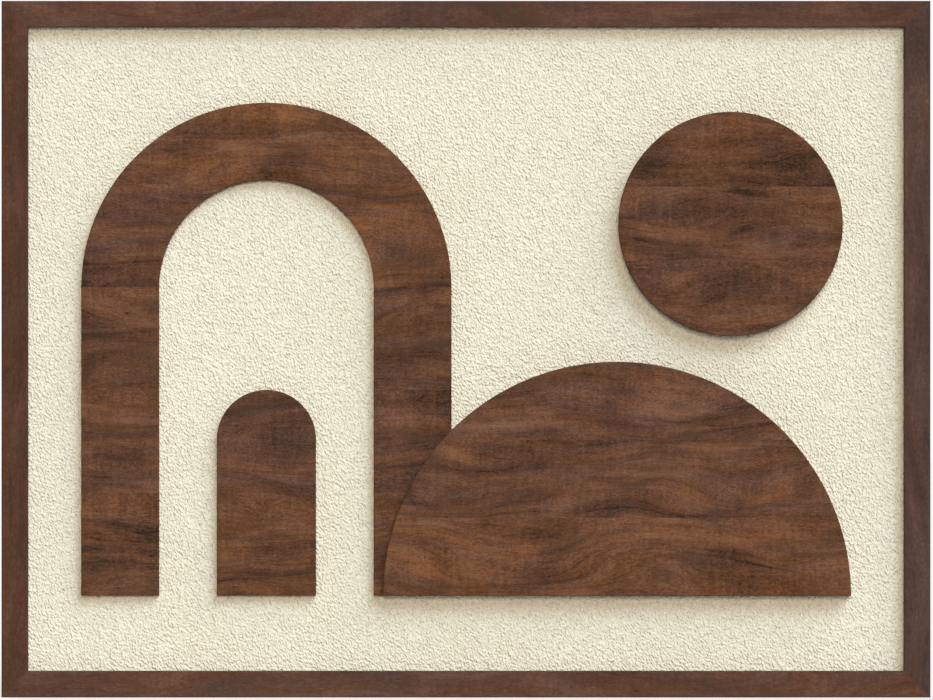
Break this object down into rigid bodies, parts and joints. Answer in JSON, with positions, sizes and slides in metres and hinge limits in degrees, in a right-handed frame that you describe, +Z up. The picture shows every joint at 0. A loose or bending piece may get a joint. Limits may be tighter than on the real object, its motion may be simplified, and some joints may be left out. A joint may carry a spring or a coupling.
{
  "type": "wood relief wall panel",
  "caption": "Framed wall panel: stippled plaster ground with a two-layer relief of dark wood boards in arch, mound and disc shapes, hung by swinging D-rings on its back.",
  "frame": {"origin": "centre of the panel's back, on the plane of the wall, where the centre brace meets the wall", "axes": "+X to the right as seen from the front, +Y into the wall, +Z up; the relief faces -Y"},
  "size_m": [1.219, 0.06, 0.914],
  "materials": {
    "frame_wood": "satin",
    "relief_wood": "satin",
    "plaster": "matte",
    "fibreboard": "matte",
    "pine": "matte",
    "beech": "matte",
    "zinc": "satin"
  },
  "bodies": {
    "root": {"arch_crown_board": "relief_wood", "arch_left_leg_board_1": "relief_wood", "arch_left_leg_board_2": "relief_wood", "arch_left_leg_board_3": "relief_wood", "arch_left_leg_board_4": "relief_wood", "arch_right_leg_board_1": "relief_wood", "arch_right_leg_board_2": "relief_wood", "arch_right_leg_board_3": "relief_wood", "arch_right_leg_board_4": "relief_wood", "arch_screw_1": "zinc", "arch_screw_2": "zinc", "arch_screw_3": "zinc", "arch_screw_4": "zinc", "backing_board": "fibreboard", "bottom_left_biscuit": "beech", "bottom_right_biscuit": "beech", "centre_brace": "pine", "disc_board_1": "relief_wood", "disc_board_2": "relief_wood", "disc_board_3": "relief_wood", "disc_screw_1": "zinc", "disc_screw_2": "zinc", "frame_bottom_rail": "frame_wood", "frame_left_stile": "frame_wood", "frame_right_stile": "frame_wood", "frame_top_rail": "frame_wood", "left_hanger_screw_1": "zinc", "left_hanger_screw_2": "zinc", "left_hanger_strap": "zinc", "mound_board_1": "relief_wood", "mound_board_2": "relief_wood", "mound_board_3": "relief_wood", "mound_screw_1": "zinc", "mound_screw_2": "zinc", "mound_screw_3": "zinc", "plaster_face": "plaster", "right_hanger_screw_1": "zinc", "right_hanger_screw_2": "zinc", "right_hanger_strap": "zinc", "small_arch_board_1": "relief_wood", "small_arch_board_2": "relief_wood", "small_arch_screw_1": "zinc", "small_arch_screw_2": "zinc", "strainer_bottom_bar": "pine", "strainer_bottom_screw_1": "zinc", "strainer_bottom_screw_2": "zinc", "strainer_left_bar": "pine", "strainer_left_screw_1": "zinc", "strainer_left_screw_2": "zinc", "strainer_right_bar": "pine", "strainer_right_screw_1": "zinc", "strainer_right_screw_2": "zinc", "strainer_top_bar": "pine", "strainer_top_screw_1": "zinc", "strainer_top_screw_2": "zinc", "top_left_biscuit": "beech", "top_right_biscuit": "beech"},
    "left_ring": {"left_hanger_ring": "zinc"},
    "right_ring": {"right_hanger_ring": "zinc"}
  },
  "joints": [
    {"name": "left_ring_swing", "type": "hinge", "parent": "root", "child": "left_ring", "pos_m": [-0.5677, -0.0045, 0.30895], "axis": [1, 0, 0], "range_deg": [0, 180]},
    {"name": "right_ring_swing", "type": "hinge", "parent": "root", "child": "right_ring", "pos_m": [0.5677, -0.0045, 0.30895], "axis": [1, 0, 0], "range_deg": [0, 180]}
  ]
}
